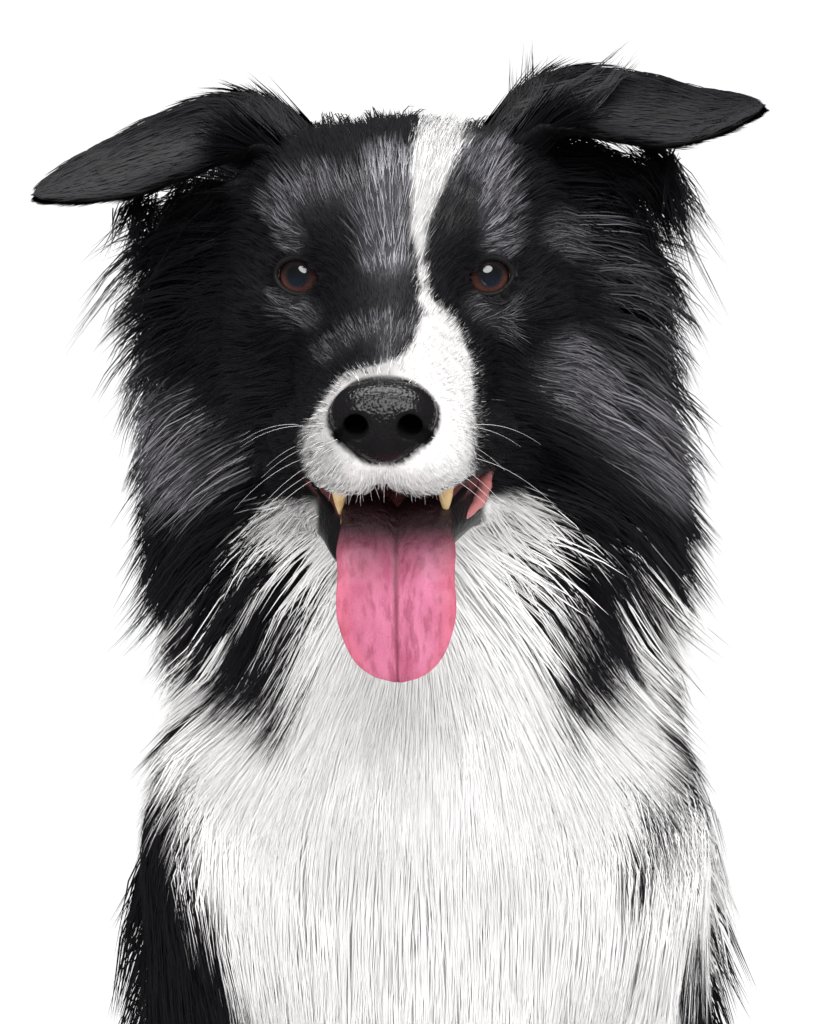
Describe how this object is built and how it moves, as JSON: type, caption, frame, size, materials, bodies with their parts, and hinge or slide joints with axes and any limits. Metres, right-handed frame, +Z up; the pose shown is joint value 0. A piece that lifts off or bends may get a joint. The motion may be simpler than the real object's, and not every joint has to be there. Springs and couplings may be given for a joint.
{
  "type": "sitting border collie, long black and white coat",
  "caption": "Life-size sitting sheepdog with a long black and white coat, ears out to the sides and tongue out, as a still museum model.",
  "frame": {"origin": "on the floor under the middle of the whole figure's box", "axes": "+Z up, the dog faces -Y, its left side is +X"},
  "size_m": [0.3414, 0.7672, 0.659],
  "materials": {
    "face_coat": "short glossy black hair, white blaze and muzzle",
    "black_coat": "long soft glossy black hair",
    "white_coat": "long soft white hair",
    "ear_coat": "short dense black hair with longer fringes",
    "nose": "moist pebbled black skin",
    "eye": "clear wet gloss over a brown iris",
    "tongue": "moist pink, fine bumps, grooved down the middle"
  },
  "bodies": {
    "root": {"head": "face_coat", "jaw": "face_coat", "nose": "nose", "tongue": "tongue", "eye_right": "eye", "ear_right": "ear_coat", "eye_left": "eye", "ear_left": "ear_coat", "neck": "black_coat", "chest": "white_coat", "trunk": "black_coat", "foreleg_right": "white_coat", "forepaw_right": "white_coat", "thigh_right": "black_coat", "hindfoot_right": "white_coat", "foreleg_left": "white_coat", "forepaw_left": "white_coat", "thigh_left": "black_coat", "hindfoot_left": "white_coat", "tail_base": "black_coat", "tail_tip": "white_coat"}
  },
  "joints": []
}
